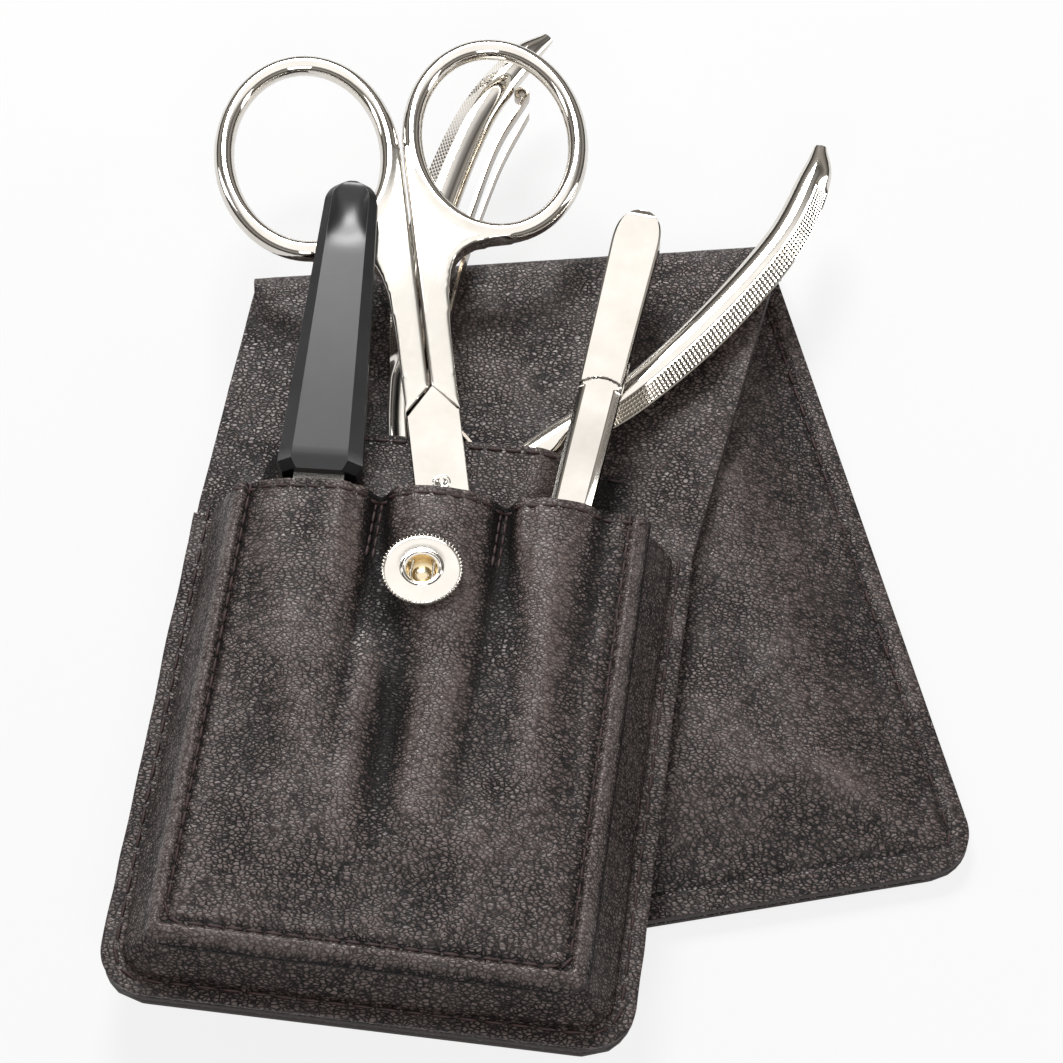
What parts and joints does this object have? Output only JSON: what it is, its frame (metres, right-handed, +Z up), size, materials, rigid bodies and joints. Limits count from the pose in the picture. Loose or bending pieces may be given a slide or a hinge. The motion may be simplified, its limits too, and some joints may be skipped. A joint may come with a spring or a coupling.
{
  "type": "manicure set case",
  "caption": "Soft leather snap case lying open on its folded-back flap, with a nail file, nail scissors, tweezers and a sprung nail nipper standing out of its pockets.",
  "frame": {"origin": "on the resting plane, on the flap's flat border beside the fold, at the case's centre line", "axes": "+X across the case to the right of the pocket's front, +Y from the pocket's bottom to the fold, +Z up from the surface it lies on"},
  "size_m": [0.1121, 0.1548, 0.023],
  "materials": {
    "dark_leather": "semi-gloss pebbled grain, very dark brown",
    "leather_lining": "fine grain, very dark brown",
    "polished_nickel": "mirror polished nickel plate",
    "pale_brass": "pale, slightly dull",
    "black_plastic": "satin moulded",
    "coated_steel": "fine grit coating",
    "spring_steel": "bright spring steel"
  },
  "bodies": {
    "case": {"back_outer_leather": "dark_leather", "back_lining": "leather_lining", "flap_fold": "dark_leather", "pocket_front_leather": "dark_leather", "pocket_front_lining": "leather_lining", "pocket_gusset": "dark_leather", "inner_panel": "leather_lining", "snap_socket_shell": "polished_nickel", "snap_socket_eyelet": "pale_brass", "snap_socket_wire_left": "polished_nickel", "snap_socket_wire_right": "polished_nickel"},
    "flap": {"flap_outer_leather": "dark_leather", "flap_lining": "leather_lining", "snap_stud": "polished_nickel", "snap_stud_base": "pale_brass"},
    "file": {"file_handle": "black_plastic", "file_blade": "coated_steel"},
    "scissors": {"scissors_front_half": "polished_nickel", "scissors_screw": "polished_nickel"},
    "scissors_rear": {"scissors_rear_half": "polished_nickel"},
    "tweezers": {"tweezers_rear_arm": "polished_nickel"},
    "tweezers_front": {"tweezers_front_arm": "polished_nickel"},
    "nipper": {"nipper_right_lever": "polished_nickel", "nipper_pivot_screw": "polished_nickel", "nipper_right_spring": "spring_steel", "nipper_right_spring_rivet": "polished_nickel"},
    "nipper_left": {"nipper_left_lever": "polished_nickel", "nipper_left_spring": "spring_steel", "nipper_left_spring_rivet": "polished_nickel"}
  },
  "joints": [
    {"name": "flap_fold_hinge", "type": "hinge", "parent": "case", "child": "flap", "pos_m": [0.00405, 0.00362, 0.00385], "axis": [0.9781, 0.2079, 0], "range_deg": [0, 180], "deforming": ["flap_fold"]},
    {"name": "file_slide", "type": "slide", "parent": "case", "child": "file", "axis": [-0.0574, 0.9959, 0.0698], "range_m": [0, 0.052]},
    {"name": "scissors_slide", "type": "slide", "parent": "case", "child": "scissors", "axis": [-0.2419, 0.9703, 0], "range_m": [0, 0.038]},
    {"name": "scissors_pivot", "type": "hinge", "parent": "scissors", "child": "scissors_rear", "pos_m": [-0.0004, -0.03787, 0.0159], "axis": [0, 0, 1], "range_deg": [0, 4]},
    {"name": "tweezers_slide", "type": "slide", "parent": "case", "child": "tweezers", "axis": [0.0836, 0.9959, 0.0349], "range_m": [-0.01, 0.045]},
    {"name": "tweezers_flex", "type": "hinge", "parent": "tweezers", "child": "tweezers_front", "pos_m": [0.0207, 0.00903, 0.0169], "axis": [0.9965, -0.0837, 0], "range_deg": [0, 1.6], "stiffness_Nm_per_rad": 3.5},
    {"name": "nipper_slide", "type": "slide", "parent": "case", "child": "nipper", "axis": [0.342, 0.9397, 0], "range_m": [0, 0.045]},
    {"name": "nipper_pivot", "type": "hinge", "parent": "nipper", "child": "nipper_left", "pos_m": [-0.004, -0.03917, 0.0106], "axis": [0, 0, -1], "range_deg": [0, 8], "stiffness_Nm_per_rad": 4, "deforming": ["nipper_right_spring", "nipper_left_spring"]}
  ]
}
